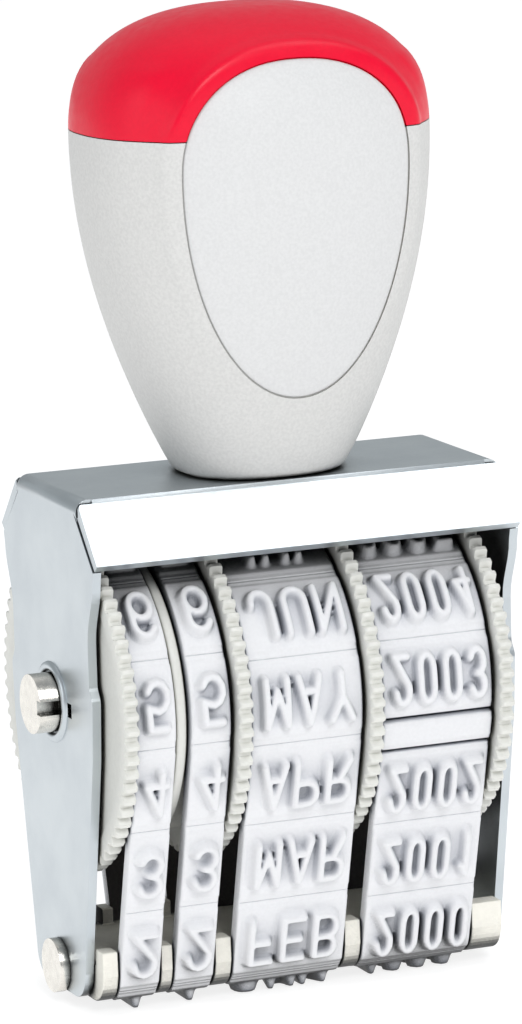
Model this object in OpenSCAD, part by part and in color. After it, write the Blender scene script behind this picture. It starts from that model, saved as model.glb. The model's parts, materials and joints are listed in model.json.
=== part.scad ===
// Rotary date stamp: a stamped steel frame carries four thumb-turned band wheels on one axle.
// Rubber type bands run round the wheels and under a plastic platen. A moulded handle is screwed on top.
// X runs along the axle, the front (the side the rows of type are read on) faces -Y, and Z is up.
// The origin is at the bottom centre, on the plane that the type faces print on.

/* [Frame] */
// thickness of the sheet steel
sheet_t = 0.7; // [0.5:0.1:0.8]
// front-to-back depth of the flat top plate
top_depth = 12.6; // [11.5:0.1:13.5]
// forward reach of each sloping flange beyond the top plate
flange_reach = 3.9; // [3:0.1:4.5]
// drop of each sloping flange below the top plate
flange_drop = 4.4; // [3.8:0.1:5]
// outside radius of the bend between top plate and side plate
bend_r = 1; // [0.8:0.1:1.2]
// slot between each sloping flange and the side plates behind it
relief_gap = 0.15; // [0.1:0.05:0.3]
// free space between the wheels and the top plate
head_room = 2.6; // [2:0.1:3]
// height of the wheels' lowest point above the type faces
wheel_lift = 10.1; // [9:0.1:11]

/* [Wheels] */
// radius over the teeth of the thumb flange
flange_r = 13.3; // [13:0.1:13.8]
// depth of the thumb teeth
tooth_h = 0.5; // [0.3:0.1:0.7]
// number of thumb teeth on each flange
tooth_count = 72; // [60:2:80]
// thickness of the thumb flange
flange_t = 1.05; // [0.9:0.05:1.1]
// radius of the axle
axle_r = 2.3; // [2:0.1:2.6]
// running clearance between axle and wheel bore
axle_clear = 0.05; // [0.03:0.01:0.08]
// gap between a wheel drum and the band round it
drum_gap = 0.15; // [0.1:0.05:0.25]
// side gap between one wheel and the next
wheel_gap = 0.2; // [0.15:0.05:0.25]
// length of the spacer between the last wheel and the right side plate
spacer_t = 1.3; // [0.8:0.05:2]

/* [Bands] */
// outside radius of the band where it runs over the wheel
band_r = 11.8; // [11.4:0.1:12]
// thickness of the band without its type
band_t = 1; // [0.8:0.1:1.2]
// width of a day band
day_w = 3.2; // [3:0.1:3.3]
// width of the month band and of the year band
word_w = 9.15; // [8.8:0.05:9.2]
// half depth of the band where it turns under the platen
foot_half = 7; // [6.5:0.1:7.5]
// radius of the band round the platen's lower corners
foot_r = 2.2; // [1.8:0.1:2.6]
// height of the raised type
type_h = 0.8; // [0.6:0.1:1]
// height of a character
char_h = 4; // [3.6:0.1:4.2]
// width of a type stroke
stroke_w = 0.55; // [0.45:0.05:0.6]
// blank strip on the year band where its ends are joined
joint_strip = 2.6; // [1.5:0.1:3]

/* [Pins] */
// length of the axle's ends that stand out of the side plates
axle_proud = 1.8; // [1.2:0.1:2.2]
// radius of the platen rivet's shank
rivet_r = 0.6; // [0.5:0.1:1]
// radius of the platen rivet's heads
rivet_head_r = 2.1; // [1.9:0.1:2.2]
// thickness of the platen rivet's heads
rivet_head_t = 0.8; // [0.6:0.1:1]
// platen left under the rivet's shank
rivet_wall = 0.3; // [0.3:0.1:0.8]

/* [Handle] */
// height of the handle above the top plate
handle_h = 35.8; // [33:0.2:38]
// greatest width of the handle
handle_w = 27.4; // [26:0.2:30]
// greatest depth of the handle
handle_d = 22.6; // [21:0.2:24]
// width of the handle's foot on the top plate
neck_w = 12.8; // [12:0.2:14]
// depth of the handle's foot on the top plate
neck_d = 11.4; // [10.6:0.2:12]
// height of the cap, from its joint with the body to the crown
cap_h = 9.2; // [8:0.2:11]
// half width of the inlaid face panels
panel_half = 9.2; // [8.4:0.2:9.6]
// joint line round each inlaid panel
panel_gap = 0.15; // [0.1:0.05:0.25]
// radius of the handle screw's thread
screw_r = 1.5; // [1.3:0.1:1.7]

/* [Hidden] */
$fn = 64;
eps = 0.01;
top_half = top_depth / 2;

// heights
axle_z = wheel_lift + flange_r;
frame_h = axle_z + max(flange_r, band_r + type_h) + head_room + sheet_t;
type_z = type_h;
core_z = type_z + band_t;
rivet_z = core_z + rivet_wall + rivet_r;
plate_low = 0.9;

// widths stacked along the axle give the frame its width
left_play = 0.25;
washer_t = 0.2;
band_side_gap = 0.3;
rim_side_gap = 0.2;
rim_t = 0.85;
day_stack = 2 * day_w + rim_t + 3 * rim_side_gap + band_side_gap;
word_stack = 2 * word_w + 4 * band_side_gap;
stack_w = left_play + day_stack + word_stack + 4 * flange_t + wheel_gap + spacer_t;
inner_half = stack_w / 2;
half_w = inner_half + sheet_t;
frame_w = 2 * half_w;

// side plate outline, half depths and heights
flange_slope = sqrt(flange_reach * flange_reach + flange_drop * flange_drop);
ear_back = sheet_t + relief_gap;
ear_half = top_half + flange_reach - flange_drop / flange_slope * ear_back;
ear_z = frame_h - flange_drop - flange_reach / flange_slope * ear_back;
ear_low_z = ear_z - 0.8;
ear_top_in = 0.5;
flange_end_in = 0.1;
bend_soft = 0.2;
slit_w = 0.25;
slit_over = 0.3;
flange_corner_h = 8;
waist_half = 8;
ear_low_in = 0.2;
hip_low_in = 0.3;
ease_n = 6;
waist_top_z = axle_z + 6;
waist_low_z = axle_z + 2.8;
hip_half = 8.6;
hip_top_z = axle_z + 1.4;
hip_low_z = axle_z - 3;
toe_half = 5.2;
toe_r = 2.2;
toe_z = plate_low + toe_r;

// positions of the bands and wheels along the axle, from the left side plate
flange_tens_x = -inner_half + left_play;
band_tens_x = flange_tens_x + flange_t + rim_side_gap;
rim_units_x = band_tens_x + day_w + rim_side_gap;
band_units_x = rim_units_x + rim_t + rim_side_gap;
flange_units_x = band_units_x + day_w + band_side_gap;
band_month_x = flange_units_x + flange_t + band_side_gap;
flange_month_x = band_month_x + word_w + band_side_gap;
band_year_x = flange_month_x + flange_t + band_side_gap;
flange_year_x = band_year_x + word_w + band_side_gap;
spacer_x = flange_year_x + flange_t + wheel_gap;
drum_r = band_r - band_t - drum_gap;
rim_lip = 0.8;
rim_r = drum_r + rim_lip;
bore_r = axle_r + axle_clear;
tooth_foot = 0.32;
tooth_tip = 0.22;

// the band's path, half of it, in a plane with p forward and z up
foot_p = foot_half - foot_r;
foot_z = type_z + foot_r;
arm_d = sqrt(foot_p * foot_p + (foot_z - axle_z) * (foot_z - axle_z));
arm_a = atan2(foot_z - axle_z, foot_p);
lean = arm_a + acos((band_r - foot_r) / arm_d);
run_1 = foot_p;
run_2 = foot_r * (90 + lean) * PI / 180;
run_3 = sqrt(arm_d * arm_d - (band_r - foot_r) * (band_r - foot_r));
run_4 = band_r * (90 - lean) * PI / 180;
half_run = run_1 + run_2 + run_3 + run_4;
corner_n = 8;
crown_n = 24;
day_rows = 14;
month_rows = 14;
year_rows = 15;
day_pitch = 2 * half_run / day_rows;
month_pitch = (2 * half_run - joint_strip) / month_rows;
year_pitch = (2 * half_run - joint_strip) / year_rows;

// handle
dome_h = 9.8;
dome_from = handle_h - dome_h;
split_h = handle_h - cap_h;
panel_top_gap = 3.5;
panel_mid_share = 0.67;
panel_mid = panel_mid_share * handle_h;
panel_rise = handle_h - panel_top_gap - panel_mid;
panel_low = 6.6;
panel_fall = panel_mid - panel_low;
panel_top_n = 2.25;
panel_back_low = 7.4;
panel_lean = 4;
panel_reach = 12;
section_n = 2.35;
ring_n = 64;
level_n = 26;
swell_x = 0.93;
swell_y = 0.75;
crown_in = 2.5;
crown_out = 0.4;
crown_stop = 0.9995;
spigot_r = 5;
spigot_l = 4;
spigot_end = 0.3;
screw_l = 9;
screw_clear = 0.15;
screw_head_r = 2.8;
screw_head_t = 1.3;
slot_l = 2.8;
slot_w = 0.5;
slot_deep = 0.7;
screw_washer_t = 0.4;
screw_washer_r = 3.4;
washer_r = 3.6;
clip_t = 0.6;
clip_lip = 1;
key_w = 1.1;
key_depth = 0.9;
notch_l = 1.8;

// platen
rivet_cover = 0.5;
core_top = rivet_z + rivet_r + rivet_cover;
guide_rise = 1.3;
guide_top = core_top + guide_rise;
guide_wall = 1.6;
guide_sunk = 0.1;
guide_in = 0.15;
ends_in = 0.1;

// ---------- shared shapes ----------

// a rod or ring along X that starts at x
module along_x(x, len, r, hole = 0) {
    translate([x, 0, 0])
        rotate([90, 0, 90])
            linear_extrude(len)
                difference() {
                    circle(r);
                    if (hole > 0) circle(hole);
                }
}

// an outline drawn in (y, z), pushed along X from x
module yz_plate(x, len) {
    translate([x, 0, 0])
        rotate([90, 0, 90])
            linear_extrude(len)
                children();
}

// the band's path as a filled outline, shrunk inwards by a distance
module path_outline(inset) {
    corner = [for (i = [0 : corner_n]) corner_point(-90 + (90 + lean) * i / corner_n, inset)];
    crown = [for (i = [0 : crown_n]) crown_point(lean + (90 - lean) * i / crown_n, inset)];
    half = concat(corner, crown);
    last = len(half) - 1;
    polygon(concat(
        [for (q = half) [q[0], q[1]]],
        [for (i = [1 : last]) [-half[last - i][0], half[last - i][1]]]
    ));
}

// ---------- type ----------

// forward distance, height and outward angle of the band's outside at a distance from its bottom centre
function along(u) =
    u < run_1 ? [u, type_z, -90] :
    u < run_1 + run_2 ? corner_point(-90 + (u - run_1) / foot_r * 180 / PI) :
    u < run_1 + run_2 + run_3 ? slope_point(u - run_1 - run_2) :
    crown_point(lean + (u - run_1 - run_2 - run_3) / band_r * 180 / PI);
function corner_point(a, inset = 0) =
    [foot_p + (foot_r - inset) * cos(a), foot_z + (foot_r - inset) * sin(a), a];
function slope_point(t) = [
    foot_p + foot_r * cos(lean) - t * sin(lean),
    foot_z + foot_r * sin(lean) + t * cos(lean),
    lean
];
function crown_point(a, inset = 0) =
    [(band_r - inset) * cos(a), axle_z + (band_r - inset) * sin(a), a];

// wraps a distance along the band into the range from minus half to plus half
function wrapped(s) = s > half_run ? s - 2 * half_run : s;

// puts a flat drawing on the outside of the band, its own up along the band
module on_band(s) {
    w = wrapped(s);
    q = along(abs(w));
    side = w < 0 ? -1 : 1;
    outward = w < 0 ? -180 - q[2] : q[2];
    translate([0, -side * q[0], q[1]])
        rotate([90 - outward, 0, 0])
            children();
}

// strokes of a character in a box one wide and one high, as [x, y, x, y]
bar_top = [0, 1, 1, 1];
bar_mid = [0, 0.5, 1, 0.5];
bar_low = [0, 0, 1, 0];
stem_l = [0, 0, 0, 1];
stem_r = [1, 0, 1, 1];
function strokes(c) =
    c == "0" || c == "O" || c == "D" ? [stem_l, stem_r, bar_top, bar_low] :
    c == "1" ? [[0.6, 0, 0.6, 1], [0.2, 0.8, 0.6, 1]] :
    c == "2" ? [bar_top, [1, 0.5, 1, 1], [0, 0, 1, 0.5], bar_low] :
    c == "3" ? [bar_top, bar_mid, bar_low, stem_r] :
    c == "4" ? [[0.75, 0, 0.75, 1], [0, 0.35, 1, 0.35], [0, 0.35, 0.7, 1]] :
    c == "5" || c == "S" ? [bar_top, [0, 0.5, 0, 1], bar_mid, [1, 0, 1, 0.5], bar_low] :
    c == "6" ? [stem_l, bar_top, bar_mid, [1, 0, 1, 0.5], bar_low] :
    c == "7" ? [bar_top, [0.4, 0, 1, 1]] :
    c == "8" || c == "B" ? [stem_l, stem_r, bar_top, bar_mid, bar_low] :
    c == "9" ? [stem_r, bar_top, bar_mid, [0, 0.5, 0, 1], bar_low] :
    c == "A" ? [[0, 0, 0.5, 1], [0.5, 1, 1, 0], [0.2, 0.3, 0.8, 0.3]] :
    c == "C" ? [stem_l, bar_top, bar_low] :
    c == "E" ? [stem_l, bar_top, bar_mid, bar_low] :
    c == "F" ? [stem_l, bar_top, bar_mid] :
    c == "G" ? [stem_l, bar_top, bar_low, [1, 0, 1, 0.5]] :
    c == "J" ? [stem_r, bar_low, [0, 0, 0, 0.3]] :
    c == "L" ? [stem_l, bar_low] :
    c == "M" ? [stem_l, stem_r, [0, 1, 0.5, 0.4], [0.5, 0.4, 1, 1]] :
    c == "N" ? [stem_l, stem_r, [0, 1, 1, 0]] :
    c == "P" ? [stem_l, bar_top, bar_mid, [1, 0.5, 1, 1]] :
    c == "R" ? [stem_l, bar_top, bar_mid, [1, 0.5, 1, 1], [0.4, 0.5, 1, 0]] :
    c == "T" ? [bar_top, [0.5, 0, 0.5, 1]] :
    c == "U" ? [stem_l, bar_low, stem_r] :
    c == "V" ? [[0, 1, 0.5, 0], [0.5, 0, 1, 1]] :
    [[0, 1, 0.5, 0.5], [0.5, 0.5, 1, 1], [0.5, 0, 0.5, 0.5]];

// one raised character, its left edge at x, upside down as it faces the paper
module raised_char(c, x, w) {
    box_w = w - stroke_w;
    box_h = char_h - stroke_w;
    translate([x + stroke_w / 2, 0, -type_root])
        linear_extrude(type_h + type_root)
            for (t = strokes(c)) {
                dx = (t[2] - t[0]) * box_w;
                dy = (t[1] - t[3]) * box_h;
                translate([(t[0] + t[2]) / 2 * box_w, (0.5 - (t[1] + t[3]) / 2) * box_h])
                    rotate(atan2(dy, dx))
                        square([sqrt(dx * dx + dy * dy) + stroke_w, stroke_w], center = true);
            }
}

// a row of characters centred between x and x + width
module raised_row(s, word, x, width, w, step) {
    first = x + width / 2 - ((len(word) - 1) * step + w) / 2;
    on_band(s)
        for (i = [0 : len(word) - 1]) raised_char(word[i], first + i * step, w);
}

// the plain loop of a band
module band_loop(x, width) {
    yz_plate(x, width)
        difference() {
            path_outline(0);
            path_outline(band_t);
        }
}

type_root = 0.35;
digits = ["0", "1", "2", "3", "4", "5", "6", "7", "8", "9"];
months = ["JAN", "FEB", "MAR", "APR", "MAY", "JUN", "JUL", "AUG", "SEP", "OCT", "NOV", "DEC"];
first_year = 1999;
rows_before_joint = 4;
digit_w = 2.2;
letter_w = 2.25;
letter_step = 2.65;
numeral_w = 1.6;
numeral_step = 2.1;

// ---------- nodes ----------

// eased step between two half depths, from the lower height to the upper one
function eased(low_half, high_half, low_z, high_z) = [
    for (i = [ease_n : -1 : 0])
        let (t = i / ease_n)
            [low_half + (high_half - low_half) * (1 - cos(180 * t)) / 2, low_z + (high_z - low_z) * t]
];

// front edge of a side plate from the top down, as [half depth, height]
side_edge = concat(
    [[top_half - ear_top_in, frame_h - bend_r], [ear_half, ear_z]],
    eased(waist_half, ear_half - ear_low_in, waist_top_z, ear_low_z),
    eased(hip_half, waist_half, hip_top_z, waist_low_z),
    [[hip_half - hip_low_in, hip_low_z], [toe_half, toe_z]]
);

module side_outline() {
    difference() {
        union() {
            polygon(concat(
                [for (q = side_edge) [-q[0], q[1]]],
                [for (i = [len(side_edge) - 1 : -1 : 0]) side_edge[i]]
            ));
            for (side = [-1, 1]) translate([side * (toe_half - toe_r), toe_z]) circle(toe_r);
            translate([-toe_half + toe_r, plate_low]) square([2 * (toe_half - toe_r), toe_r + eps]);
        }
        translate([0, axle_z]) circle(axle_r);
        translate([0, rivet_z]) circle(rivet_r);
    }
}

module bend_outline() {
    for (side = [-1, 1]) translate([side * (half_w - bend_r), frame_h - bend_r]) circle(bend_r);
    translate([-half_w + bend_r, frame_h - 2 * bend_r]) square([frame_w - 2 * bend_r, 2 * bend_r]);
}

// front or rear flange: side is -1 for the front and 1 for the rear
module sloping_flange(side) {
    ny = flange_drop / flange_slope * sheet_t;
    nz = flange_reach / flange_slope * sheet_t;
    difference() {
        rounded_flange(side, ny, nz);
        for (x = [-half_w - eps, half_w - bend_r - slit_over])
            translate([x, side > 0 ? top_half : -top_half - slit_w, frame_h - bend_r - slit_over])
                cube([bend_r + slit_over + eps, slit_w, bend_r + 2 * slit_over]);
    }
}

module rounded_flange(side, ny, nz) {
    intersection() {
        yz_plate(-half_w + flange_end_in, 2 * (half_w - flange_end_in))
            polygon([
                [side * (top_half - sheet_t), frame_h],
                [side * top_half, frame_h],
                [side * (top_half + flange_reach), frame_h - flange_drop],
                [side * (top_half + flange_reach - ny), frame_h - flange_drop - nz],
                [side * (top_half - ny), frame_h - nz - bend_soft],
                [side * (top_half - sheet_t), frame_h - sheet_t]
            ]);
        // rounds the flange's upper corners to the bend's outline
        translate([0, top_half + 2 * flange_reach, 0])
            rotate([90, 0, 0])
                linear_extrude(2 * top_half + 4 * flange_reach) {
                    bend_outline();
                    translate([-half_w, frame_h - flange_corner_h])
                        square([frame_w, flange_corner_h - bend_r]);
                }
    }
}

module frame() color([0.72, 0.75, 0.78]) {
    difference() {
        union() {
            for (x = [-half_w, inner_half]) yz_plate(x, sheet_t) side_outline();
            translate([0, top_half, 0])
                rotate([90, 0, 0])
                    linear_extrude(top_depth)
                        difference() {
                            bend_outline();
                            translate([-inner_half, frame_h - 3 * bend_r])
                                square([2 * inner_half, 3 * bend_r - sheet_t]);
                        }
            sloping_flange(-1);
            sloping_flange(1);
        }
        translate([0, 0, frame_h - 2 * sheet_t]) cylinder(r = screw_r + screw_clear, h = 3 * sheet_t);
        // key notch beside the axle hole in the left plate
        translate([-half_w - eps, -axle_r - notch_l, axle_z - key_w / 2])
            cube([sheet_t + 2 * eps, axle_r + notch_l, key_w]);
    }
}

module axle() color([0.8, 0.78, 0.72]) {
    translate([0, 0, axle_z])
        difference() {
            along_x(-half_w - axle_proud, frame_w + 2 * axle_proud, axle_r);
            // key slot in the end that stands out
            translate([-half_w - axle_proud - eps, -axle_r - eps, -key_w / 2])
                cube([axle_proud + eps, key_depth, key_w]);
        }
}

module axle_clip() color([0.6, 0.6, 0.62])
    translate([0, 0, axle_z]) along_x(half_w, clip_t, axle_r + clip_lip, axle_r);

module thrust_washer() color([0.8, 0.8, 0.8])
    translate([0, 0, axle_z]) along_x(-inner_half, washer_t, washer_r, bore_r);

module axle_spacer() color([0.8, 0.8, 0.8])
    translate([0, 0, axle_z]) along_x(spacer_x, inner_half - spacer_x, washer_r, bore_r);

module platen() color([0.93, 0.9, 0.8]) {
    difference() {
        union() {
            // core that the bands run under
            yz_plate(-inner_half + ends_in, 2 * (inner_half - ends_in))
                intersection() {
                    path_outline(band_t);
                    translate([-foot_half, core_z]) square([2 * foot_half, core_top - core_z]);
                }
            // guides between the bands
            guide(-inner_half + ends_in, band_tens_x - guide_in);
            guide(band_tens_x + day_w + guide_in, band_units_x - guide_in);
            guide(band_units_x + day_w + guide_in, band_month_x - guide_in);
            guide(band_month_x + word_w + guide_in, band_year_x - guide_in);
            guide(band_year_x + word_w + guide_in, inner_half - ends_in);
        }
        translate([0, 0, rivet_z]) along_x(-half_w, frame_w, rivet_r);
    }
}

// one rib of the platen, standing between two bands
module guide(from_x, to_x) {
    yz_plate(from_x, to_x - from_x)
        intersection() {
            path_outline(guide_sunk);
            difference() {
                translate([-foot_half, 0]) square([2 * foot_half, guide_top]);
                translate([-foot_half + guide_wall, core_top])
                    square([2 * (foot_half - guide_wall), guide_top]);
            }
        }
}

module platen_rivet() color([0.8, 0.78, 0.72])
    translate([0, 0, rivet_z]) {
        along_x(-half_w - rivet_head_t, frame_w + 2 * rivet_head_t, rivet_r);
        along_x(-half_w - rivet_head_t, rivet_head_t, rivet_head_r);
        along_x(half_w, rivet_head_t, rivet_head_r);
    }

// toothed thumb flange from x, with its bore
module thumb_flange(x) {
    share = 360 / tooth_count;
    root_r = flange_r - tooth_h;
    yz_plate(x, flange_t)
        difference() {
            polygon([
                for (i = [0 : tooth_count - 1])
                    for (q = [[-tooth_foot, 0], [-tooth_tip, 1], [tooth_tip, 1], [tooth_foot, 0]])
                        let (r = root_r + q[1] * tooth_h, a = (i + q[0]) * share) [r * cos(a), r * sin(a)]
            ]);
            circle(bore_r);
        }
}

module wheel(from_x, to_x, flange_x) {
    translate([0, 0, axle_z]) {
        along_x(from_x, to_x - from_x, drum_r, bore_r);
        thumb_flange(flange_x);
    }
}

module wheel_day_tens() color([0.95, 0.93, 0.85])
    wheel(flange_tens_x + flange_t - eps, rim_units_x - wheel_gap, flange_tens_x);

module wheel_day_units() color([0.95, 0.93, 0.85]) {
    wheel(rim_units_x, flange_units_x + eps, flange_units_x);
    translate([0, 0, axle_z]) along_x(rim_units_x, rim_t, rim_r, bore_r);
}

module wheel_month() color([0.95, 0.93, 0.85])
    wheel(flange_units_x + flange_t + wheel_gap, flange_month_x + eps, flange_month_x);

module wheel_year() color([0.95, 0.93, 0.85])
    wheel(flange_month_x + flange_t + wheel_gap, flange_year_x + eps, flange_year_x);

module band_day_tens() color([0.88, 0.88, 0.9]) {
    band_loop(band_tens_x, day_w);
    for (i = [0 : len(digits) - 1])
        raised_row((i - 0.5) * day_pitch, digits[i], band_tens_x, day_w, digit_w, 0);
}

module band_day_units() color([0.88, 0.88, 0.9]) {
    band_loop(band_units_x, day_w);
    for (i = [0 : len(digits) - 1])
        raised_row((i - 0.5) * day_pitch, digits[i], band_units_x, day_w, digit_w, 0);
}

module band_month() color([0.88, 0.88, 0.9]) {
    band_loop(band_month_x, word_w);
    for (i = [0 : len(months) - 1])
        raised_row((i + 0.5) * month_pitch, months[i], band_month_x, word_w, letter_w, letter_step);
}

module band_year() color([0.88, 0.88, 0.9]) {
    band_loop(band_year_x, word_w);
    for (i = [0 : year_rows - 1])
        raised_row(
            (i + 0.5) * year_pitch + (i < rows_before_joint ? 0 : joint_strip),
            str(first_year + i), band_year_x, word_w, numeral_w, numeral_step
        );
}

// ---------- handle ----------

// half width and half depth of the handle at a height above the top plate
function swell(h, power) = sin(90 * pow(min(h / dome_from, 1), power));
function crown(h) =
    h <= dome_from ? 1 : pow(1 - pow((h - dome_from) / (handle_h - dome_from), crown_in), crown_out);
function half_x(h) = (neck_w / 2 + (handle_w - neck_w) / 2 * swell(h, swell_x)) * crown(h);
function half_y(h) = (neck_d / 2 + (handle_d - neck_d) / 2 * swell(h, swell_y)) * crown(h);
function power_of(v, n) = sign(v) * pow(abs(v), 2 / n);

// heights of the sections, closer together towards the crown
function level(k) = k <= level_n / 2
    ? dome_from * k / (level_n / 2)
    : dome_from + (handle_h - dome_from) * sin(90 * (k / level_n * 2 - 1)) * crown_stop;

// the whole outside of the handle, standing on the top plate
module handle_form() {
    points = [
        for (k = [0 : level_n])
            for (i = [0 : ring_n - 1])
                let (a = 360 * i / ring_n, h = level(k))
                    [
                        half_x(h) * power_of(cos(a), section_n),
                        half_y(h) * power_of(sin(a), section_n),
                        frame_h + h
                    ]
    ];
    sides = [
        for (k = [0 : level_n - 1])
            for (i = [0 : ring_n - 1])
                for (q = [0, 1])
                    let (j = (i + 1) % ring_n, a = k * ring_n, b = (k + 1) * ring_n)
                        q == 0 ? [a + i, b + i, b + j] : [a + i, b + j, a + j]
    ];
    foot = [[for (i = [0 : ring_n - 1]) i]];
    crown_top = [[for (i = [ring_n - 1 : -1 : 0]) level_n * ring_n + i]];
    polyhedron(points, concat(foot, sides, crown_top));
}

// outline of a face panel: half round above, long half oval below
module panel_outline(grow) {
    polygon([
        for (i = [0 : ring_n - 1])
            let (a = 360 * i / ring_n)
                sin(a) > 0
                ? [
                    (panel_half + grow) * power_of(cos(a), panel_top_n),
                    panel_mid + (panel_rise + grow) * power_of(sin(a), panel_top_n)
                ]
                : [(panel_half + grow) * cos(a), panel_mid + (panel_fall + grow) * sin(a)]
    ]);
}

// the space a panel fills, on the front (side -1) or the rear (side 1)
module panel_space(side, grow) {
    translate([0, 0, frame_h])
        mirror([0, side > 0 ? 1 : 0, 0])
            translate([0, -panel_back_low + grow, 0])
                rotate([90 + panel_lean, 0, 0])
                    linear_extrude(panel_reach)
                        panel_outline(grow);
}

module handle_body() color([0.82, 0.81, 0.79]) {
    difference() {
        intersection() {
            handle_form();
            translate([-handle_w, -handle_w, frame_h])
                cube([2 * handle_w, 2 * handle_w, split_h]);
        }
        panel_space(-1, panel_gap);
        panel_space(1, panel_gap);
        translate([0, 0, frame_h + split_h - spigot_l - spigot_end])
            cylinder(r = spigot_r, h = spigot_l + 2 * spigot_end);
        translate([0, 0, frame_h - eps]) cylinder(r = screw_r, h = screw_l);
    }
}

module handle_cap() color([0.9, 0.1, 0.15]) {
    difference() {
        intersection() {
            handle_form();
            translate([-handle_w, -handle_w, frame_h + split_h])
                cube([2 * handle_w, 2 * handle_w, handle_h]);
        }
        panel_space(-1, panel_gap);
        panel_space(1, panel_gap);
    }
    translate([0, 0, frame_h + split_h - spigot_l]) cylinder(r = spigot_r, h = spigot_l + eps);
}

module front_panel() color([0.92, 0.92, 0.91])
    intersection() {
        handle_form();
        panel_space(-1, 0);
    }

module rear_panel() color([0.92, 0.92, 0.91])
    intersection() {
        handle_form();
        panel_space(1, 0);
    }

module handle_screw() color([0.6, 0.6, 0.62]) {
    seat_z = frame_h - sheet_t - screw_washer_t;
    translate([0, 0, seat_z - eps]) cylinder(r = screw_r, h = screw_l);
    difference() {
        translate([0, 0, seat_z - screw_head_t]) cylinder(r = screw_head_r, h = screw_head_t);
        for (turn = [0, 90])
            rotate(turn)
                translate([-slot_l / 2, -slot_w / 2, seat_z - screw_head_t - eps])
                    cube([slot_l, slot_w, slot_deep]);
    }
}

module screw_washer() color([0.7, 0.7, 0.72])
    translate([0, 0, frame_h - sheet_t - screw_washer_t])
        difference() {
            cylinder(r = screw_washer_r, h = screw_washer_t);
            translate([0, 0, -eps]) cylinder(r = screw_r + screw_clear, h = screw_washer_t + 2 * eps);
        }

frame();
axle();
axle_clip();
thrust_washer();
axle_spacer();
platen();
platen_rivet();
wheel_day_tens();
wheel_day_units();
wheel_month();
wheel_year();
band_day_tens();
band_day_units();
band_month();
band_year();
handle_body();
handle_cap();
front_panel();
rear_panel();
handle_screw();
screw_washer();
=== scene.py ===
import json
import math

import bmesh
import bpy
import numpy as np
from mathutils import Matrix, Vector


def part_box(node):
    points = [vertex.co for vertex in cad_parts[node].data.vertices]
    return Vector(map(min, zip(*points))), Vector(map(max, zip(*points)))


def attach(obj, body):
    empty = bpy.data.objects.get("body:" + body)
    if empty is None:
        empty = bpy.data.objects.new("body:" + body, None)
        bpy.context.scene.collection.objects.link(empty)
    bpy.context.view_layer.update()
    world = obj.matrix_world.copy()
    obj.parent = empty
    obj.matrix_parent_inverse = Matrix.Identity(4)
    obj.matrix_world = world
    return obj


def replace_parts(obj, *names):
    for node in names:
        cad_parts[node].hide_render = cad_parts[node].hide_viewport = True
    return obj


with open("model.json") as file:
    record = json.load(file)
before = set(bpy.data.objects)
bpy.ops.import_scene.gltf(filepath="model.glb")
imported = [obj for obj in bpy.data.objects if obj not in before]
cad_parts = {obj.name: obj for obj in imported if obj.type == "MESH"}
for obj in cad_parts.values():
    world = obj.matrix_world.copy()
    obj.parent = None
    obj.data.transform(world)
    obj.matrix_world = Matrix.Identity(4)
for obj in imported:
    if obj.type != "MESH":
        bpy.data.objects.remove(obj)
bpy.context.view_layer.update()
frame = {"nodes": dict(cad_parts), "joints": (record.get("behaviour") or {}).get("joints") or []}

# The rotary date stamp in metres, in the CAD frame: X along the axle, -Y the front, Z up.
# Sizes written in millimetres are scaled by MM where a mesh is made.
MM = 0.001


def span(node, axis):
    """Lowest and highest place of a CAD node along an axis (0, 1 or 2), in millimetres."""
    low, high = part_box(node)
    return low[axis] / MM, high[axis] / MM


AXLE_Z = frame["joints"][0]["pos_m"][2] / MM
PLATE_Z = span("handle_body", 2)[0]

# ---------------------------------------------------------------- mesh helpers


def placed(name, mesh, material, body, smooth_angle):
    """An object that rides a body. Edges sharper than smooth_angle, in degrees, stay crisp."""
    mesh.materials.append(material)
    mesh.shade_smooth()
    mesh.set_sharp_from_angle(angle=math.radians(smooth_angle))
    obj = bpy.data.objects.new(name, mesh)
    bpy.context.scene.collection.objects.link(obj)
    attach(obj, body)
    return obj


def piece(name, verts, faces, material, body="stamp", smooth_angle=40.0):
    """An object made from points in millimetres."""
    mesh = bpy.data.meshes.new(name)
    mesh.from_pydata([tuple(v) for v in np.asarray(verts, dtype=float) * MM], [], faces)
    mesh.validate()
    return placed(name, mesh, material, body, smooth_angle)


def grid_faces(rows, columns, first=0, closed_rows=False, closed_columns=False):
    """Quads over a grid of points stored row by row."""
    faces = []
    for i in range(rows if closed_rows else rows - 1):
        for j in range(columns if closed_columns else columns - 1):
            a = first + i * columns + j
            b = first + i * columns + (j + 1) % columns
            c = first + (i + 1) % rows * columns + (j + 1) % columns
            d = first + (i + 1) % rows * columns + j
            faces.append((a, b, c, d))
    return faces


def turned(profile, count, centre_z, ripple=None):
    """Rings round the axle line. profile holds (x, radius, ripple share) in order along the section."""
    angles = np.arange(count) * 2 * math.pi / count
    verts = []
    for x, radius, share in profile:
        r = np.full(count, radius) if ripple is None else radius + share * ripple(angles)
        for a, q in zip(angles, r):
            verts.append((x, q * math.cos(a), centre_z + q * math.sin(a)))
    return verts, grid_faces(len(profile), count, closed_columns=True)


def cad_look(node, material, bevel):
    """A CAD node keeps its shape, and gets a finish and slightly rounded edges."""
    obj = frame["nodes"][node]
    for slot in obj.material_slots:
        slot.material = material
    weld = obj.modifiers.new("weld", "WELD")
    weld.merge_threshold = 0.00002
    rounding = obj.modifiers.new("rounding", "BEVEL")
    rounding.width = bevel * MM
    rounding.segments = 2
    rounding.limit_method = "ANGLE"
    rounding.angle_limit = math.radians(35)
    rounding.harden_normals = True
    return obj


# ---------------------------------------------------------------- materials


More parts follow.
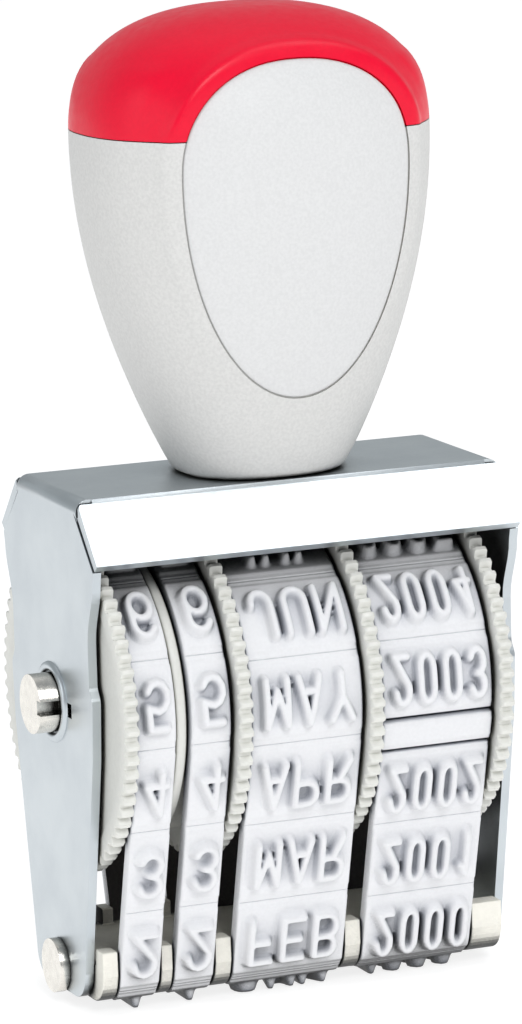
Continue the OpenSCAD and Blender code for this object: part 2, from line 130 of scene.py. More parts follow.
def material(name, colour, roughness, metallic=0.0):
    """A principled material, with its node tree ready for more detail."""
    mat = bpy.data.materials.new(name)
    mat.use_nodes = True
    nodes = mat.node_tree.nodes
    shader = nodes["Principled BSDF"]
    shader.inputs["Base Color"].default_value = (*colour, 1)
    shader.inputs["Roughness"].default_value = roughness
    shader.inputs["Metallic"].default_value = metallic
    return mat


def add_noise(mat, grain, stretch=(1, 1, 1), detail=3.0):
    """Noise in object space. grain is the size of its features in millimetres."""
    nodes, links = mat.node_tree.nodes, mat.node_tree.links
    place = nodes.new("ShaderNodeTexCoord")
    mapping = nodes.new("ShaderNodeMapping")
    mapping.inputs["Scale"].default_value = [s / (grain * MM) for s in stretch]
    noise = nodes.new("ShaderNodeTexNoise")
    noise.inputs["Scale"].default_value = 1.0
    noise.inputs["Detail"].default_value = detail
    links.new(place.outputs["Object"], mapping.inputs["Vector"])
    links.new(mapping.outputs["Vector"], noise.inputs["Vector"])
    return noise.outputs["Fac"]


def vary_colour(mat, factor, dark, light, low=0.35, high=0.65, gaps=()):
    """Mottle between two colours, and paint shade into slots and corners from ambient occlusion: gaps holds (reach in
    mm, tint, closed, open).
    """
    nodes, links = mat.node_tree.nodes, mat.node_tree.links
    ramp = nodes.new("ShaderNodeValToRGB")
    ramp.color_ramp.elements[0].position = low
    ramp.color_ramp.elements[1].position = high
    ramp.color_ramp.elements[0].color = (*dark, 1)
    ramp.color_ramp.elements[1].color = (*light, 1)
    links.new(factor, ramp.inputs["Fac"])
    colour = ramp.outputs["Color"]
    for reach, tint, closed, open_at in gaps:
        # Painted shade: the tint is multiplied into the base colour where ambient occlusion finds the surface closed
        # in.
        shade = nodes.new("ShaderNodeAmbientOcclusion")
        shade.samples = 8
        shade.inputs["Distance"].default_value = reach * MM
        painted_shade = nodes.new("ShaderNodeValToRGB")
        painted_shade.color_ramp.elements[0].position = closed
        painted_shade.color_ramp.elements[1].position = open_at
        painted_shade.color_ramp.elements[0].color = (*tint, 1)
        painted_shade.color_ramp.elements[1].color = (1, 1, 1, 1)
        links.new(shade.outputs["AO"], painted_shade.inputs["Fac"])
        mix = nodes.new("ShaderNodeMix")
        mix.data_type = "RGBA"
        mix.blend_type = "MULTIPLY"
        mix.inputs["Factor"].default_value = 1.0
        links.new(colour, mix.inputs["A"])
        links.new(painted_shade.outputs["Color"], mix.inputs["B"])
        colour = mix.outputs["Result"]
    links.new(colour, nodes["Principled BSDF"].inputs["Base Color"])


def vary_roughness(mat, factor, low, high):
    nodes, links = mat.node_tree.nodes, mat.node_tree.links
    spread = nodes.new("ShaderNodeMapRange")
    spread.inputs["From Min"].default_value = 0.3
    spread.inputs["From Max"].default_value = 0.7
    spread.inputs["To Min"].default_value = low
    spread.inputs["To Max"].default_value = high
    links.new(factor, spread.inputs["Value"])
    links.new(spread.outputs["Result"], nodes["Principled BSDF"].inputs["Roughness"])


def add_bump(mat, factor, height, strength=1.0):
    """height is the depth of the relief in millimetres."""
    nodes, links = mat.node_tree.nodes, mat.node_tree.links
    bump = nodes.new("ShaderNodeBump")
    bump.inputs["Distance"].default_value = height * MM
    bump.inputs["Strength"].default_value = strength
    links.new(factor, bump.inputs["Height"])
    links.new(bump.outputs["Normal"], nodes["Principled BSDF"].inputs["Normal"])


# Crevice shades are (reach in mm, tint, openness where full, openness where gone).
BLACK = (0.01, 0.012, 0.012)
DEEP = (9.0, BLACK, 0.16, 0.42)


def sheet_steel():
    mat = material("plated_steel_look", (0.62, 0.665, 0.69), 0.3, metallic=1.0)
    rolled = add_noise(mat, 0.1, stretch=(0.06, 1, 1), detail=2)
    cloud = add_noise(mat, 5.0, detail=2)
    # Painted shade: deep inside the stamp and in small corners, the steel's colour is darkened towards black.
    vary_colour(mat, cloud, (0.555, 0.6, 0.63), (0.61, 0.655, 0.68), gaps=[DEEP, (0.7, (0.05, 0.06, 0.06), 0.2, 0.6)])
    vary_roughness(mat, add_noise(mat, 0.5, detail=2), 0.3, 0.34)
    add_bump(mat, rolled, 0.002, 0.3)
    return mat


def bright_steel(name, colour, low, high):
    mat = material(name, colour, low, metallic=1.0)
    # Painted shade: slots and corners on the pins, clips and washers are darkened towards black.
    vary_colour(mat, add_noise(mat, 0.8), [c * 0.88 for c in colour], colour, gaps=[(1.2, BLACK, 0.35, 0.75)])
    vary_roughness(mat, add_noise(mat, 0.35, detail=1), low, high)
    add_bump(mat, add_noise(mat, 0.15, detail=1), 0.002, 0.3)
    return mat


def moulded(name, light, mottle, grain, roughness, relief, gaps, specular=0.5):
    """Moulded plastic or rubber: a fine grain, slight mottling and uneven sheen, with shade from its gaps painted
    into its colour.
    """
    mat = material(name, light, roughness)
    dark = [c * (1 - mottle) for c in light]
    vary_colour(mat, add_noise(mat, grain, detail=4), dark, light, gaps=gaps)
    vary_roughness(mat, add_noise(mat, grain * 3), roughness - 0.05, roughness + 0.05)
    add_bump(mat, add_noise(mat, grain, detail=2), relief, 0.6)
    mat.node_tree.nodes["Principled BSDF"].inputs["Specular IOR Level"].default_value = specular
    return mat


STEEL = sheet_steel()
NICKEL = bright_steel("pin_steel_look", (0.86, 0.83, 0.77), 0.2, 0.3)
ZINC = bright_steel("zinc_steel_look", (0.66, 0.68, 0.72), 0.3, 0.4)
# Painted shade: the wheels darken to black deep inside the stamp and to olive in small corners.
IVORY = moulded(
    "wheel_plastic_look", (0.8, 0.8, 0.755), 0.04, 0.4, 0.45, 0.005,
    [(9.0, BLACK, 0.04, 0.26), (0.7, (0.4, 0.4, 0.34), 0.2, 0.7)]
)
# Painted shade: the platen darkens to black where it sits deep between the bands.
PLATEN = moulded(
    "platen_plastic_look", (0.93, 0.905, 0.82), 0.04, 0.4, 0.48, 0.005, [(9.0, BLACK, 0.34, 0.52)]
)
# Painted shade: the bands darken to black deep inside the stamp, with bluish painted shadows round the raised
# characters and between the rows.
RUBBER = moulded(
    "band_rubber_look", (0.83, 0.832, 0.85), 0.03, 0.25, 0.5, 0.006,
    [(9.0, BLACK, 0.18, 0.44), (1.5, (0.22, 0.25, 0.32), 0.15, 0.85)]
)
# Painted shade: the inside faces of the band loops are near black, standing in for the dark inside of the stamp.
BAND_INSIDE_SHADE = moulded("band_inside_painted_shade_look", (0.05, 0.045, 0.045), 0.3, 0.2, 0.6, 0.01, [])
# Painted shade: the handle's grey, red and panel colours darken slightly in the groove round the panels.
GREY = moulded(
    "handle_grey_look", (0.71, 0.705, 0.69), 0.09, 0.24, 0.5, 0.012, [(0.4, (0.6, 0.6, 0.58), 0.2, 0.7)], 0.35
)
RED = moulded(
    "cap_red_look", (0.85, 0.0, 0.03), 0.04, 0.3, 0.36, 0.003, [(0.4, (0.6, 0.2, 0.2), 0.2, 0.7)], 0.28
)
PALE = moulded(
    "panel_grey_look", (0.735, 0.735, 0.735), 0.06, 0.24, 0.5, 0.010, [(0.3, (0.7, 0.7, 0.7), 0.2, 0.7)], 0.35
)

# ---------------------------------------------------------------- frame, pins and platen

cad_look("frame", STEEL, 0.14)
cad_look("axle", NICKEL, 0.22)
cad_look("platen_rivet", NICKEL, 0.2)
cad_look("axle_clip", ZINC, 0.1)
cad_look("thrust_washer", ZINC, 0.05)
cad_look("axle_spacer", ZINC, 0.1)
cad_look("platen", PLATEN, 0.12)
cad_look("handle_screw", ZINC, 0.08)
cad_look("screw_washer", ZINC, 0.06)


def swaged_ring(name, x, outward, hole_r, centre_z):
    """The lip of sheet metal pressed up round a pin's hole."""
    wide, tall, sunk = 0.75, 0.28, 0.05
    section = [(-sunk, hole_r + 0.06), (tall * 0.7, hole_r + 0.08), (tall, hole_r + 0.25)]
    section += [(tall, hole_r + wide - 0.3), (tall * 0.6, hole_r + wide - 0.08), (-sunk, hole_r + wide)]
    verts, faces = turned([(x + outward * dx, r, 0) for dx, r in section], 64, centre_z)
    return piece(name, verts, faces, STEEL, smooth_angle=60)


PLATE_X = span("frame", 0)
AXLE_R = (span("axle", 2)[1] - span("axle", 2)[0]) / 2
swaged_ring("axle_lip_left", PLATE_X[0], -1, AXLE_R + 0.12, AXLE_Z)

# ---------------------------------------------------------------- wheels

TEETH = 72
TOOTH_H = 0.5
POINTS_A_TOOTH = 8
WHEEL_R = (span("wheel_month", 2)[1] - span("wheel_month", 2)[0]) / 2
FLANGE_T = 1.05
BORE_R = 2.35
DRUM_R = 10.65
RIM_R = 11.45
RIM_T = 0.85
RIM_EDGE = 0.12
OVERLAP = 0.02


def tooth_ripple(angles):
    """From 0 at a tooth's tip to -TOOTH_H between teeth, with rounded shoulders."""
    wave = np.cos(angles * TEETH)
    return -TOOTH_H * (0.5 - 0.5 * np.clip(wave * 1.7, -1, 1))


def wheel(node, flange_first, body):
    """A drum with a toothed thumb flange at one end. The drum is hidden by its band but for its ends."""
    x0, x1 = span(node, 0)
    edge = 0.16
    a, b = (x0, x0 + FLANGE_T) if flange_first else (x1 - FLANGE_T, x1)
    dish = 0.12
    flange = [
        (a + OVERLAP, BORE_R, 0), (a + OVERLAP, 4.0, 0), (a + dish, 4.4, 0), (a + dish, WHEEL_R - 2.0, 0),
        (a, WHEEL_R - 1.6, 0), (a, WHEEL_R - TOOTH_H - 0.25, 0), (a, WHEEL_R - edge, 1),
        (a + edge, WHEEL_R, 1), (b - edge, WHEEL_R, 1), (b, WHEEL_R - edge, 1),
        (b, WHEEL_R - TOOTH_H - 0.25, 0), (b, DRUM_R, 0), (b, BORE_R, 0), (a + OVERLAP, BORE_R, 0)
    ]
    verts, faces = turned(flange, TEETH * POINTS_A_TOOTH, AXLE_Z, tooth_ripple)
    c, d = (b - OVERLAP, x1) if flange_first else (x0, a + OVERLAP)
    drum = [(c, BORE_R, 0), (c, DRUM_R - 0.1, 0), (c + 0.1, DRUM_R, 0)]
    if node == "wheel_day_units":
        e = c + RIM_T
        drum = [(c, BORE_R, 0), (c, RIM_R - RIM_EDGE, 0), (c + RIM_EDGE, RIM_R, 0)]
        drum += [(e - RIM_EDGE, RIM_R, 0), (e, RIM_R - RIM_EDGE, 0), (e, DRUM_R, 0)]
    drum += [(d - 0.1, DRUM_R, 0), (d, DRUM_R - 0.1, 0), (d, BORE_R, 0), (c, BORE_R, 0)]
    more, more_faces = turned(drum, 128, AXLE_Z)
    first = len(verts)
    verts += more
    faces += [tuple(first + i for i in f) for f in more_faces]
    obj = piece(node + "_look", verts, faces, IVORY, body, smooth_angle=50)
    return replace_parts(obj, node)


wheel("wheel_day_tens", True, "day_tens")
wheel("wheel_day_units", False, "day_units")
wheel("wheel_month", False, "month")
wheel("wheel_year", False, "year")

# ---------------------------------------------------------------- type bands

TYPE_H = 0.8
BAND_T = 1.0
BAND_R = span("band_month", 2)[1] - AXLE_Z - TYPE_H
FOOT_HALF = 7.0
FOOT_R = 2.2
CHAR_H = 4.0
STROKE = 0.56
TOP_HALF = 0.17
WALL_W = 0.34
JOINT_STRIP = 2.6
SEAM = 0.16
EDGE_W = 0.14
GRID = 0.125

# the band's path, half of it: flat under the platen, round its corner, up to the wheel, over the wheel
foot_p = FOOT_HALF - FOOT_R
foot_z = TYPE_H + FOOT_R
arm = math.hypot(foot_p, AXLE_Z - foot_z)
LEAN = math.atan2(foot_z - AXLE_Z, foot_p) + math.acos((BAND_R - FOOT_R) / arm)
RUN_1 = foot_p
RUN_2 = RUN_1 + FOOT_R * (math.pi / 2 + LEAN)
RUN_3 = RUN_2 + math.sqrt(arm**2 - (BAND_R - FOOT_R) ** 2)
HALF_RUN = RUN_3 + BAND_R * (math.pi / 2 - LEAN)


def on_path(s, lift):
    """(y, z) at distance s from the band's bottom centre, towards the front, lifted off its outside by lift."""
    u = np.abs(s)
    angle = np.where(u < RUN_1, -math.pi / 2, LEAN)
    angle = np.where((u >= RUN_1) & (u < RUN_2), -math.pi / 2 + (u - RUN_1) / FOOT_R, angle)
    angle = np.where(u >= RUN_3, LEAN + (u - RUN_3) / BAND_R, angle)
    t = u - RUN_2
    p = np.where(u < RUN_1, u, foot_p + FOOT_R * np.cos(angle))
    z = np.where(u < RUN_1, TYPE_H, foot_z + FOOT_R * np.sin(angle))
    slope = (u >= RUN_2) & (u < RUN_3)
    p = np.where(slope, foot_p + FOOT_R * math.cos(LEAN) - t * math.sin(LEAN), p)
    z = np.where(slope, foot_z + FOOT_R * math.sin(LEAN) + t * math.cos(LEAN), z)
    p = np.where(u >= RUN_3, BAND_R * np.cos(angle), p)
    z = np.where(u >= RUN_3, AXLE_Z + BAND_R * np.sin(angle), z)
    return -np.sign(s) * (p + lift * np.cos(angle)), z + lift * np.sin(angle)


def arc(cx, cy, rx, ry, start, end, steps=8):
    """Points of an arc, angles in degrees counter-clockwise from the right."""
    angles = np.radians(np.linspace(start, end, steps + 1))
    return [(cx + rx * math.cos(a), cy + ry * math.sin(a)) for a in angles]


# Characters as pen strokes in a box one unit wide and one unit high.
R = 0.5
Q = 0.28
GLYPHS = {
    "0": [arc(R, 1 - Q, R, Q, 0, 180) + arc(R, Q, R, Q, 180, 360) + [(1, 1 - Q)]],
    "1": [[(0.25, 0.8), (0.62, 1), (0.62, 0)]],
    "2": [arc(R, 1 - Q, R, Q, 170, -20) + [(0, 0), (1, 0)]],
    "3": [arc(R, 0.76, R, 0.24, 160, -90) + arc(R, 0.26, R, 0.26, 90, -160)],
    "4": [[(0.74, 0), (0.74, 1), (0, 0.3), (1, 0.3)]],
    "5": [[(0.95, 1), (0.1, 1), (0.03, 0.54)] + arc(R, 0.32, R, 0.3, 120, -155)],
    "6": [arc(R, 1 - Q, R, Q, 25, 180) + arc(R, 0.3, R, 0.3, 180, 540, 14)],
    "7": [[(0, 1), (1, 1), (0.35, 0)]],
    "8": [arc(R, 0.77, 0.44, 0.23, -90, 270, 14), arc(R, 0.27, R, 0.27, -90, 270, 14)],
    "9": [arc(R, Q, R, Q, 205, 360) + arc(R, 0.7, R, 0.3, 0, 360, 14)],
    "A": [[(0, 0), (R, 1), (1, 0)], [(0.18, 0.32), (0.82, 0.32)]],
    "B": [[(0, 0), (0, 1), (0.55, 1)] + arc(0.55, 0.77, 0.4, 0.23, 90, -90) + [(0, 0.54)],
          [(0.5, 0.54)] + arc(0.55, 0.27, 0.45, 0.27, 90, -90) + [(0, 0)]],
    "C": [arc(R, 1 - Q, R, Q, 20, 180) + arc(R, Q, R, Q, 180, 340)],
    "D": [[(0, 0), (0, 1), (0.45, 1)] + arc(0.45, 0.7, 0.55, 0.3, 90, 0)
          + arc(0.45, 0.3, 0.55, 0.3, 0, -90) + [(0, 0)]],
    "E": [[(0.95, 1), (0, 1), (0, 0), (0.95, 0)], [(0, 0.52), (0.8, 0.52)]],
    "F": [[(0.95, 1), (0, 1), (0, 0)], [(0, 0.52), (0.8, 0.52)]],
    "G": [arc(R, 1 - Q, R, Q, 20, 180) + arc(R, Q, R, Q, 180, 360) + [(1, 0.45), (0.6, 0.45)]],
    "J": [[(0.9, 1), (0.9, 0.28)] + arc(0.45, 0.28, 0.45, 0.28, 0, -180)],
    "L": [[(0.05, 1), (0.05, 0), (1, 0)]],
    "M": [[(0, 0), (0, 1), (R, 0.25), (1, 1), (1, 0)]],
    "N": [[(0, 0), (0, 1), (1, 0), (1, 1)]],
    "P": [[(0, 0), (0, 1), (0.55, 1)] + arc(0.55, 0.74, 0.45, 0.26, 90, -90) + [(0, 0.48)]],
    "R": [[(0, 0), (0, 1), (0.55, 1)] + arc(0.55, 0.75, 0.45, 0.25, 90, -90) + [(0, 0.5)],
          [(0.5, 0.5), (1, 0)]],
    "S": [arc(R, 0.75, R, 0.25, 25, 270) + arc(R, 0.25, R, 0.25, 90, -155)],
    "T": [[(0, 1), (1, 1)], [(R, 1), (R, 0)]],
    "U": [[(0, 1)] + arc(R, Q, R, Q, 180, 360) + [(1, 1)]],
    "V": [[(0, 1), (R, 0), (1, 1)]],
    "Y": [[(0, 1), (R, 0.5), (1, 1)], [(R, 0.5), (R, 0)]],
}
GLYPHS["O"] = GLYPHS["0"]


def stroke_distance(word, width, step, x, v):
    """Distance from the points (x, v) to the nearest pen stroke of a word centred on x = 0, v = 0."""
    pen_w, pen_h = width - STROKE, CHAR_H - STROKE
    first = -((len(word) - 1) * step + pen_w) / 2
    best = np.full(x.shape, 9.0)
    for i, letter in enumerate(word):
        for line in GLYPHS[letter]:
            pts = [(first + i * step + px * pen_w, (py - 0.5) * pen_h) for px, py in line]
            for (ax, ay), (bx, by) in zip(pts, pts[1:]):
                dx, dy = bx - ax, by - ay
                t = np.clip(((x - ax) * dx + (v - ay) * dy) / (dx * dx + dy * dy + 1e-9), 0, 1)
                best = np.minimum(best, np.hypot(x - ax - t * dx, v - ay - t * dy))
    return best


def smooth(t):
    t = np.clip(t, 0, 1)
    return t * t * (3 - 2 * t)


def band(node, words, width, step, strip=0.0, rows_before_joint=0, turned_back=0):
    """A rubber loop whose raised rows read upside down from the front, with one cell for each word or blank.

    The first cell starts at the bottom centre and the rest follow up the front. strip is the blank joint strip.
    """
    x0, x1 = span(node, 0)
    mid, half = (x0 + x1) / 2, (x1 - x0) / 2
    pitch = (2 * HALF_RUN - strip) / len(words)
    shift = lambda i: (strip if i >= rows_before_joint else 0.0) - turned_back * pitch
    wrap = lambda s: s - 2 * HALF_RUN if s > HALF_RUN else s
    seams = [wrap(i * pitch + shift(i)) for i in range(len(words))]
    if strip:
        seams.append(wrap(rows_before_joint * pitch))
    rows = np.arange(-HALF_RUN, HALF_RUN, GRID)
    for seam in seams:
        rows = rows[np.abs(rows - seam) > 0.2]
    s = np.sort(np.concatenate([rows] + [seam + np.array([-0.17, -0.07, 0.0, 0.07, 0.17]) for seam in seams]))
    columns = max(8, int(round(2 * half / GRID)))
    middle = np.linspace(-half + EDGE_W, half - EDGE_W, columns)
    across = np.concatenate([[-half, -half + 0.05], middle, [half - 0.05, half]])
    x, ss = np.meshgrid(across, s)
    lift = np.zeros_like(x)
    for i, word in enumerate(words):
        v = wrap((i + 0.5) * pitch + shift(i)) - ss
        near = np.abs(v) < CHAR_H / 2 + 0.8
        if word.strip():
            gap = stroke_distance(word, width, step, x[near], v[near])
            wall = np.clip((TOP_HALF + WALL_W - gap) / WALL_W, 0, 1)
            lift[near] = np.maximum(lift[near], TYPE_H * (0.6 * wall + 0.4 * smooth(wall)))
    for seam in seams:
        near = np.abs(ss - seam)
        lift -= SEAM * np.clip(1 - near / SEAM, 0, 1)
        lift -= 0.1 * smooth((0.62 - near) / 0.25) * (near > SEAM)
    if strip:
        centre = wrap(rows_before_joint * pitch + strip / 2)
        edge = np.abs(np.abs(ss - centre) - strip / 2)
        lift += 0.16 * smooth((strip / 2 - 0.1 - np.abs(ss - centre)) / 0.15)
        lift -= 0.42 * np.clip(1 - edge / 0.2, 0, 1)
    lift -= EDGE_W * np.clip(1 - (half - np.abs(x)) / EDGE_W, 0, 1) ** 2
    y, z = on_path(ss, lift)
    outer = np.stack([x + mid, y, z], axis=-1).reshape(-1, 3)
    n, m = x.shape
    yi, zi = on_path(s, np.full(n, -BAND_T))
    sides = [np.stack([np.full(n, edge), yi, zi], axis=-1)[:, None] for edge in (x0, x1)]
    inner = np.concatenate(sides, axis=1).reshape(-1, 3)
    faces = grid_faces(n, m, closed_rows=True)
    outer_count = len(faces)
    first = n * m
    for i in range(n):
        k = (i + 1) % n
        left, right = i * m, i * m + m - 1
        left_k, right_k = k * m, k * m + m - 1
        faces.append((left, left_k, first + 2 * k, first + 2 * i))
        faces.append((right_k, right, first + 2 * i + 1, first + 2 * k + 1))
        faces.append((first + 2 * i, first + 2 * k, first + 2 * k + 1, first + 2 * i + 1))
    obj = piece(node + "_look", np.concatenate([outer, inner]), faces, RUBBER, smooth_angle=75)
    # The loop's inside faces get the near-black painted shade.
    obj.data.materials.append(BAND_INSIDE_SHADE)
    for face in list(obj.data.polygons)[outer_count + 2::3]:
        face.material_index = 1
    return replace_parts(obj, node)


DIGITS = [str(i) for i in range(10)] + [" "] * 4
MONTHS = "JAN FEB MAR APR MAY JUN JUL AUG SEP OCT NOV DEC".split() + [" "] * 2
YEARS = [str(1999 + i) for i in range(15)]
band("band_day_tens", DIGITS, 2.2, 0, turned_back=1)
band("band_day_units", DIGITS, 2.2, 0, turned_back=1)
band("band_month", MONTHS, 2.25, 2.65, strip=JOINT_STRIP, rows_before_joint=12)
band("band_year", YEARS, 1.65, 2.1, strip=JOINT_STRIP, rows_before_joint=4)

# ---------------------------------------------------------------- handle

HANDLE_W = span("handle_body", 0)[1] * 2
HANDLE_D = 22.6
HANDLE_H = span("handle_cap", 2)[1] - PLATE_Z
NECK_W, NECK_D = 12.8, 11.4
DOME_H = 9.8
DOME_FROM = HANDLE_H - DOME_H
SPLIT_H = HANDLE_H - 9.2
SECTION_N = 2.35
FOOT_ROUND = 0.5
PANEL_HALF = 9.2
PANEL_MID = 0.67 * HANDLE_H
PANEL_RISE = HANDLE_H - 3.5 - PANEL_MID
PANEL_FALL = PANEL_MID - 6.6
PANEL_TOP_N = 2.25
GROOVE = 0.11
GROOVE_DEPTH = 0.17
RING_N = 160
RING = np.arange(RING_N) * 2 * math.pi / RING_N + 0.01


def outline(h, wide, neck, power):
    """Half width of the handle at height h above the top plate."""
    h = np.clip(h, 0, HANDLE_H)
    swell = np.sin(np.pi / 2 * np.minimum(h / DOME_FROM, 1) ** power)
    over = np.clip((h - DOME_FROM) / DOME_H, 0, 1)
    crown = np.clip(1 - over**2.5, 0, 1) ** 0.42
    foot = np.clip(1 - h / FOOT_ROUND, 0, 1)
    tuck = FOOT_ROUND * (1 - np.sqrt(1 - foot**2))
    return (neck + (wide - neck) * swell) / 2 * crown - tuck


def half_x(h):
    return outline(h, HANDLE_W, NECK_W, 0.93)


def half_y(h):
    return outline(h, HANDLE_D, NECK_D, 0.75)


def skin(x, h):
    """Depth of the handle's surface in front of its middle plane."""
    share = np.clip(np.abs(x) / np.maximum(half_x(h), 1e-6), 0, 1)
    return half_y(h) * np.clip(1 - share**SECTION_N, 0, 1) ** (1 / SECTION_N)


def panel_reach(a, grow=0.0):
    """Distance from the panel's middle to its edge at angle a: a full round top and a long oval below."""
    over = np.sin(a) > 0
    n = np.where(over, PANEL_TOP_N, 2.0)
    half, tall = PANEL_HALF + grow, np.where(over, PANEL_RISE, PANEL_FALL) + grow
    return (np.abs(np.cos(a) / half) ** n + np.abs(np.sin(a) / tall) ** n) ** (-1 / n)


def on_handle(reach, angles, side, drop):
    """Points at a reach from the panel's middle, sunk by drop below the handle's surface."""
    x, h = reach * np.cos(angles), PANEL_MID + reach * np.sin(angles)
    return np.stack([x, side * (skin(x, h) - drop), h + PLATE_Z], axis=-1)


def edge_reach(a):
    """Distance from the panel's middle to the handle's outline at angle a."""
    low, high = np.zeros_like(a), np.full_like(a, 2 * HANDLE_H)
    for _ in range(40):
        mid = (low + high) / 2
        x, h = mid * np.cos(a), PANEL_MID + mid * np.sin(a)
        inside = (h > 0) & (h < HANDLE_H) & (np.abs(x) < half_x(h))
        low, high = np.where(inside, mid, low), np.where(inside, high, mid)
    return low


def shell_points(side):
    """Rings of points from the panel's edge out to the handle's outline, on one face."""
    corner = math.atan2(-PANEL_MID, float(half_x(np.array(0.0))))
    angles = np.sort(np.concatenate([RING - math.pi, [corner, -math.pi - corner]]))
    inner, outer = panel_reach(angles, GROOVE / 2), edge_reach(angles)
    near = np.arange(17) * 0.2
    rings = []
    for d in near:
        rings.append((inner + np.minimum(d, (outer - inner) * 0.8), np.full_like(angles, d)))
    last = rings[-1][0]
    for t in np.linspace(0, 1, 17)[1:]:
        f = 1 - (1 - t) ** 2.2
        rings.append((last + (outer - last) * f, near[-1] + (outer - last) * f))
    points = []
    for k, (r, d) in enumerate(rings):
        x, h = r * np.cos(angles), PANEL_MID + r * np.sin(angles)
        y = skin(x, h)
        if k == len(rings) - 1:
            y = np.where(h > 0.02, 0.0, y)
        cap = smooth((h - SPLIT_H + 1.5) / 3)
        low = smooth((h - 9) / 9)
        welt = np.interp(d, [0, 0.9, 1.3, 1.7, 2.8], [0, 0.8, 1, 0.35, 0])
        ledge = smooth((h - 28.0) / 3.2) * smooth((32.2 - h) / 0.6) * smooth((d - 2.2) / 1.5)
        y = y + (0.72 * cap * welt + 0.28 * (1 - cap) * low * welt + 0.35 * ledge) * np.clip(y / 4, 0, 1)
        points.append(np.stack([x, side * y, h + PLATE_Z], axis=-1))
    wall = points[0].copy()
    wall[:, 1] -= side * GROOVE_DEPTH
    groove_floor = on_handle(panel_reach(angles, -0.6), angles, side, GROOVE_DEPTH)
    return np.array([groove_floor, wall] + points)


def handle_shell():
    """The whole outside of the handle but for its panels, as points and faces."""
    verts, faces = [], []
    for side in (-1, 1):
        grid = shell_points(side)
        rows, columns = grid.shape[:2]
        quads = grid_faces(rows, columns, first=len(verts), closed_columns=True)
        faces += [q if side > 0 else q[::-1] for q in quads]
        verts += list(grid.reshape(-1, 3))
    return verts, faces


def sliced(name, verts, faces, mat, height, keep_above):
    """The part of the shell above or below a level, welded, with the cut turned slightly inwards."""
    bm = bmesh.new()
    points = [bm.verts.new(Vector([c * MM for c in v])) for v in verts]
    for f in faces:
        if len(set(f)) > 2:
            bm.faces.new([points[i] for i in f])
    bmesh.ops.remove_doubles(bm, verts=bm.verts, dist=0.004 * MM)
    flat = Vector((0, 0, height * MM))
    up = Vector((0, 0, 1 if keep_above else -1))
    cut = bmesh.ops.bisect_plane(
        bm, geom=bm.verts[:] + bm.edges[:] + bm.faces[:], plane_co=flat, plane_no=-up, clear_outer=True, dist=1e-7
    )
    rim = [e for e in cut["geom_cut"] if isinstance(e, bmesh.types.BMEdge)]
    inward = bmesh.ops.extrude_edge_only(bm, edges=rim)
    for v in [g for g in inward["geom"] if isinstance(g, bmesh.types.BMVert)]:
        v.co.x *= 0.94
        v.co.y *= 0.94
    bmesh.ops.recalc_face_normals(bm, faces=bm.faces)
    mesh = bpy.data.meshes.new(name)
    bm.to_mesh(mesh)
    bm.free()
    return placed(name, mesh, mat, "stamp", 50)


def face_panel(node, side):
    """An inlaid panel: it follows the handle's surface, and its edge rolls down into the groove."""
    reach = panel_reach(RING, -GROOVE / 2)
    rings = [(reach * share, 0.0) for share in (0.02, 0.15, 0.3, 0.45, 0.6, 0.75, 0.87, 0.95)]
    rings += [(reach - inset, drop) for inset, drop in ((0.2, 0.0), (0.08, 0.04), (0.0, 0.14), (0.0, GROOVE_DEPTH))]
    grid = np.array([on_handle(r, RING, side, drop) for r, drop in rings])
    faces = grid_faces(len(grid), RING_N, closed_columns=True)
    faces.append(tuple(range(RING_N))[::-1])
    faces = [f if side > 0 else f[::-1] for f in faces]
    obj = piece(node + "_look", grid.reshape(-1, 3), faces, PALE, smooth_angle=50)
    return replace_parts(obj, node)


shell_verts, shell_faces = handle_shell()
SPLIT_Z = PLATE_Z + SPLIT_H
body_look = sliced("handle_body_look", shell_verts, shell_faces, GREY, SPLIT_Z - 0.04, keep_above=False)
cap_look = sliced("handle_cap_look", shell_verts, shell_faces, RED, SPLIT_Z + 0.04, keep_above=True)
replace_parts(body_look, "handle_body")
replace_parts(cap_look, "handle_cap")
face_panel("front_panel", -1)
face_panel("rear_panel", 1)

# ---------------------------------------------------------------- floor, light and camera


def floor():
    mat = material("floor_white", (0.35, 0.35, 0.35), 0.7)
    add_bump(mat, add_noise(mat, 6.0), 0.01, 0.2)
    shader = mat.node_tree.nodes["Principled BSDF"]
    shader.inputs["Emission Color"].default_value = (1, 1, 1, 1)
    shader.inputs["Emission Strength"].default_value = 0.82
    mesh = bpy.data.meshes.new("floor")
    wide = 3.0
    mesh.from_pydata([(-wide, -wide, 0), (wide, -wide, 0), (wide, wide, 0), (-wide, wide, 0)], [], [(0, 1, 2, 3)])
    mesh.materials.append(mat)
    obj = bpy.data.objects.new("floor", mesh)
    bpy.context.scene.collection.objects.link(obj)
    obj.location.z = -0.0001


def softbox(name, place, target, size, power, colour=(1, 1, 1)):
    data = bpy.data.lights.new(name, "AREA")
    data.shape = "RECTANGLE"
    data.size, data.size_y = size
    data.energy = power
    data.color = colour
    obj = bpy.data.objects.new(name, data)
    bpy.context.scene.collection.objects.link(obj)
    obj.location = place
    obj.rotation_euler = (Vector(target) - Vector(place)).to_track_quat("-Z", "Y").to_euler()


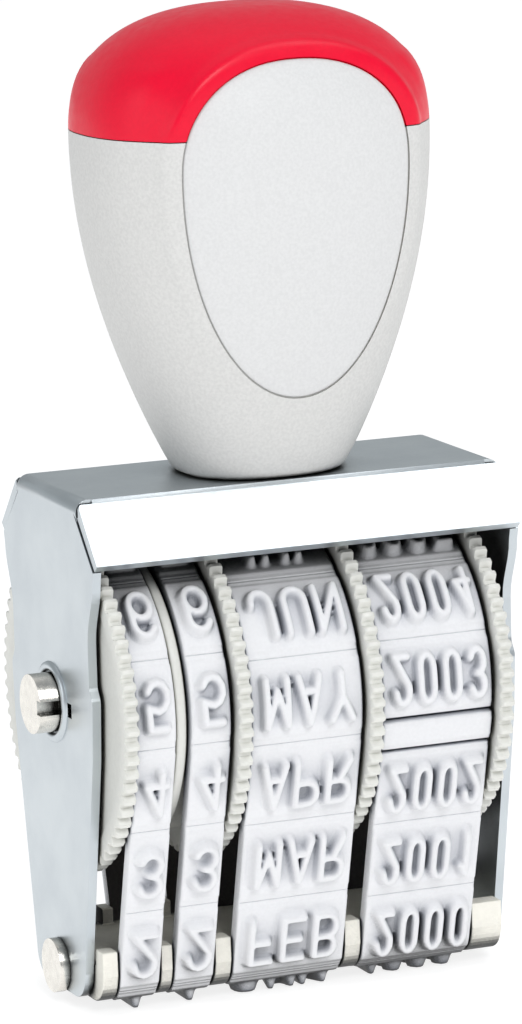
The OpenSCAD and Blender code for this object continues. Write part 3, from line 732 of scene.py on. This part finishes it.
def studio():
    """A bright surround with a darker band low down behind, which the top plate mirrors, and a white ground."""
    world = bpy.data.worlds.new("studio")
    bpy.context.scene.world = world
    world.use_nodes = True
    nodes, links = world.node_tree.nodes, world.node_tree.links
    nodes.clear()
    place = nodes.new("ShaderNodeTexCoord")
    axes = nodes.new("ShaderNodeSeparateXYZ")
    links.new(place.outputs["Generated"], axes.inputs["Vector"])
    height = nodes.new("ShaderNodeValToRGB")
    for position, value in ((0.0, 0.85), (0.04, 0.5), (0.16, 0.56), (0.4, 0.42), (0.75, 0.45)):
        stop = height.color_ramp.elements.new(position)
        stop.color = (value * 0.95, value, value * 1.02, 1)
    links.new(axes.outputs["Z"], height.inputs["Fac"])
    behind = nodes.new("ShaderNodeMapRange")
    behind.inputs["From Min"].default_value = -0.1
    behind.inputs["From Max"].default_value = 0.4
    links.new(axes.outputs["Y"], behind.inputs["Value"])
    tone = nodes.new("ShaderNodeMix")
    tone.data_type = "RGBA"
    tone.inputs["A"].default_value = (0.36, 0.375, 0.39, 1)
    links.new(behind.outputs["Result"], tone.inputs["Factor"])
    links.new(height.outputs["Color"], tone.inputs["B"])
    soft = nodes.new("ShaderNodeBackground")
    links.new(tone.outputs["Result"], soft.inputs["Color"])
    white = nodes.new("ShaderNodeBackground")
    white.inputs["Color"].default_value = (1, 1, 1, 1)
    path = nodes.new("ShaderNodeLightPath")
    mix = nodes.new("ShaderNodeMixShader")
    out = nodes.new("ShaderNodeOutputWorld")
    links.new(path.outputs["Is Camera Ray"], mix.inputs["Fac"])
    links.new(soft.outputs["Background"], mix.inputs[1])
    links.new(white.outputs["Background"], mix.inputs[2])
    links.new(mix.outputs["Shader"], out.inputs["Surface"])


def camera():
    """The photograph's viewpoint: a long lens from the front left, a little above, turned a touch clockwise."""
    azimuth, elevation, roll = math.radians(-22.56), math.radians(10.75), math.radians(-1.51)
    distance = 0.425
    target = Vector((0.00015, 0, 0.0364))
    back = Vector((
        math.sin(azimuth) * math.cos(elevation), -math.cos(azimuth) * math.cos(elevation), math.sin(elevation)
    ))
    data = bpy.data.cameras.new("camera")
    data.sensor_fit = "VERTICAL"
    data.sensor_height = 24
    data.lens = 129.3
    data.clip_start = 0.01
    obj = bpy.data.objects.new("camera", data)
    bpy.context.scene.collection.objects.link(obj)
    look = (-back).to_track_quat("-Z", "Y").to_matrix().to_4x4()
    obj.matrix_world = Matrix.Translation(target + back * distance) @ look @ Matrix.Rotation(roll, 4, "Z")
    bpy.context.scene.camera = obj


floor()
studio()
softbox("visor_light", (0.19, -0.145, 0.477), (0, -0.008, 0.038), (0.24, 0.2), 0.42)
softbox("key", (-0.04, -0.5, 0.4), (0, 0, 0.04), (0.22, 0.22), 1.5)
softbox("left_fill", (-0.5, -0.05, 0.2), (0, 0, 0.04), (0.3, 0.3), 0.35)
camera()
bpy.context.scene.view_settings.view_transform = "Standard"
